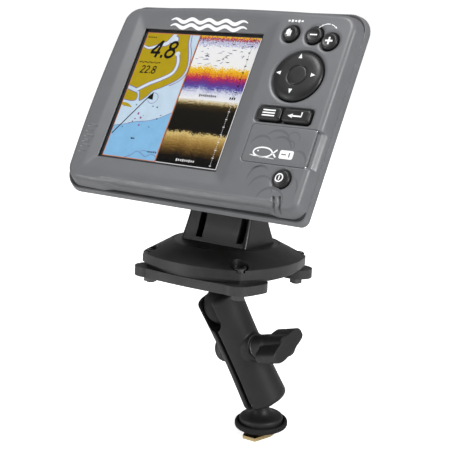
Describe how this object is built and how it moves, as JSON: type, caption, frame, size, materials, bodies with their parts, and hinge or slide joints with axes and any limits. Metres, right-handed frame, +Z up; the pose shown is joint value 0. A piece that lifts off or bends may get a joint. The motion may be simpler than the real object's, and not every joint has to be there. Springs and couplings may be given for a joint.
{
  "type": "fish finder",
  "caption": "Colour sonar and chart display on a tilting, swivelling bracket, carried by a two-ball clamp arm on a round track base with a slot bolt.",
  "frame": {"origin": "centre of the track base's underside, where it sits on its track", "axes": "+Z up along the track ball's post, +X to the right of a person facing the display, -Y towards that person"},
  "size_m": [0.1852, 0.1081, 0.2832],
  "materials": {
    "moulded_black": "fine moulded texture",
    "rubber_black": "matte rubber",
    "brass_bolt": "yellow passivated, bright edges",
    "steel": "plated steel",
    "spring_steel": "bright spring wire",
    "coated_plate": "black powder coat",
    "aluminium_stud": "cast aluminium",
    "bracket_black": "satin black moulding",
    "black_nickel": "black nickel plated",
    "grey_shell": "satin mid grey moulding",
    "glass_clear": "clear window",
    "screen": "lit colour display",
    "aluminium_sheet": "sheet",
    "key_rubber": "soft charcoal keys",
    "inner_plastic": "black",
    "circuit_board": "solder mask",
    "tin_plate": "tin plated",
    "ceramic_block": "ceramic patch aerial",
    "contact_brass": "bright contacts"
  },
  "bodies": {
    "track": {"track_ball_base": "moulded_black", "track_pad": "rubber_black"},
    "track_bolt": {"t_bolt": "brass_bolt"},
    "lower_ball": {"lower_ball": "rubber_black"},
    "arm": {"arm_half_back": "moulded_black", "arm_bolt": "steel", "arm_spring": "spring_steel"},
    "arm_front": {"arm_half_front": "moulded_black", "arm_washer": "steel"},
    "knob": {"arm_knob": "moulded_black"},
    "upper_ball": {"upper_ball": "rubber_black"},
    "plate": {"adapter_plate": "coated_plate", "plate_stud": "aluminium_stud", "stud_screw": "steel", "bracket_base": "bracket_black", "base_screws": "black_nickel", "lock_nuts": "black_nickel"},
    "pedestal": {"bracket_pedestal": "bracket_black", "swivel_retainer": "bracket_black", "swivel_screws": "steel", "left_ratchet_spring": "spring_steel", "right_ratchet_spring": "spring_steel"},
    "head": {"front_bezel": "grey_shell", "display_window": "glass_clear", "display_gasket": "rubber_black", "lcd_panel": "screen", "backlight_plate": "aluminium_sheet", "keypad_mat": "rubber_black", "keypad_board": "circuit_board", "card_door_pin": "steel", "card_socket": "tin_plate", "rear_housing": "grey_shell", "housing_seal": "rubber_black", "housing_screws": "black_nickel", "main_board": "circuit_board", "board_screws": "steel", "sonar_module": "tin_plate", "gps_antenna": "ceramic_block", "buzzer": "inner_plastic", "power_socket": "inner_plastic", "sonar_socket": "inner_plastic", "power_pins": "contact_brass", "sonar_pins": "contact_brass"},
    "left_ratchet": {"left_ratchet": "bracket_black"},
    "right_ratchet": {"right_ratchet": "bracket_black"},
    "pages_button": {"pages_button": "key_rubber"},
    "zoom_out_button": {"zoom_out_button": "key_rubber"},
    "zoom_in_button": {"zoom_in_button": "key_rubber"},
    "power_button": {"power_button": "key_rubber"},
    "menu_button": {"menu_button": "key_rubber"},
    "enter_button": {"enter_button": "key_rubber"},
    "pad_pivot": {"pad_pivot": "inner_plastic"},
    "direction_pad": {"direction_pad": "key_rubber"},
    "card_door": {"card_door": "grey_shell"}
  },
  "joints": [
    {"name": "t_bolt_turn", "type": "hinge", "parent": "track", "child": "track_bolt", "pos_m": [0, 0, 0], "axis": [0, 0, 1], "range_deg": [-90, 90]},
    {"name": "lower_ball_spin", "type": "hinge", "parent": "track", "child": "lower_ball", "pos_m": [0, 0, 0.0255], "axis": [0, 0, 1], "range_deg": [-180, 180]},
    {"name": "lower_ball_swing", "type": "hinge", "parent": "lower_ball", "child": "arm", "pos_m": [0, 0, 0.0255], "axis": [-0.5066, 0.8622, 0], "range_deg": [-3, 45]},
    {"name": "arm_open", "type": "slide", "parent": "arm", "child": "arm_front", "axis": [0.9261, -0.2309, 0.2983], "range_m": [0, 0.00254]},
    {"name": "knob_turn", "type": "hinge", "parent": "arm_front", "child": "knob", "pos_m": [-0.01124, -0.0066, 0.05527], "axis": [-0.9261, 0.2309, -0.2983], "range_deg": [0, 720]},
    {"name": "upper_ball_swing", "type": "hinge", "parent": "arm", "child": "upper_ball", "pos_m": [-0.02247, -0.0132, 0.08504], "axis": [-0.6366, 0.7681, -0.0699], "range_deg": [-45, 3]},
    {"name": "upper_ball_spin", "type": "hinge", "parent": "upper_ball", "child": "plate", "pos_m": [-0.02247, -0.0132, 0.08504], "axis": [0, 0.0906, 0.9959], "range_deg": [-180, 180]},
    {"name": "bracket_swivel", "type": "hinge", "parent": "plate", "child": "pedestal", "pos_m": [-0.02247, -0.01085, 0.11094], "axis": [0, 0.0906, 0.9959], "range_deg": [-60, 60]},
    {"name": "head_tilt", "type": "hinge", "parent": "pedestal", "child": "head", "pos_m": [-0.02247, -0.00491, 0.17065], "axis": [1, 0, 0], "range_deg": [-22, 28]},
    {"name": "left_ratchet_press", "type": "slide", "parent": "head", "child": "left_ratchet", "axis": [1, 0, 0], "range_m": [0, 0.003], "stiffness_N_per_m": 600, "springref_m": -0.002, "deforming": ["left_ratchet_spring"]},
    {"name": "right_ratchet_press", "type": "slide", "parent": "head", "child": "right_ratchet", "axis": [-1, 0, 0], "range_m": [0, 0.003], "stiffness_N_per_m": 600, "springref_m": -0.002, "deforming": ["right_ratchet_spring"]},
    {"name": "pages_button_press", "type": "slide", "parent": "head", "child": "pages_button", "axis": [0, 0.8339, -0.5519], "range_m": [0, 0.0008], "stiffness_N_per_m": 900, "springref_m": -0.0008},
    {"name": "zoom_out_button_press", "type": "slide", "parent": "head", "child": "zoom_out_button", "axis": [0, 0.8339, -0.5519], "range_m": [0, 0.0008], "stiffness_N_per_m": 900, "springref_m": -0.0008},
    {"name": "zoom_in_button_press", "type": "slide", "parent": "head", "child": "zoom_in_button", "axis": [0, 0.8339, -0.5519], "range_m": [0, 0.0008], "stiffness_N_per_m": 900, "springref_m": -0.0008},
    {"name": "power_button_press", "type": "slide", "parent": "head", "child": "power_button", "axis": [0, 0.8339, -0.5519], "range_m": [0, 0.0008], "stiffness_N_per_m": 900, "springref_m": -0.0008},
    {"name": "menu_button_press", "type": "slide", "parent": "head", "child": "menu_button", "axis": [0, 0.8339, -0.5519], "range_m": [0, 0.0008], "stiffness_N_per_m": 900, "springref_m": -0.0008},
    {"name": "enter_button_press", "type": "slide", "parent": "head", "child": "enter_button", "axis": [0, 0.8339, -0.5519], "range_m": [0, 0.0008], "stiffness_N_per_m": 900, "springref_m": -0.0008},
    {"name": "pad_rock_sideways", "type": "hinge", "parent": "head", "child": "pad_pivot", "pos_m": [0.03853, -0.0211, 0.23968], "axis": [0, 0.5519, 0.8339], "range_deg": [-2.5, 2.5], "stiffness_Nm_per_rad": 0.5},
    {"name": "pad_rock_up_down", "type": "hinge", "parent": "pad_pivot", "child": "direction_pad", "pos_m": [0.03853, -0.0211, 0.23968], "axis": [1, 0, 0], "range_deg": [-2.5, 2.5], "stiffness_Nm_per_rad": 0.5},
    {"name": "card_door_swing", "type": "hinge", "parent": "head", "child": "card_door", "pos_m": [0.06273, -0.04721, 0.20294], "axis": [0, 0.5519, 0.8339], "range_deg": [0, 95]}
  ],
  "couplings": [
    {"joint": "knob_turn", "follows": "arm_open", "rad_per_m": 4947.4}
  ]
}
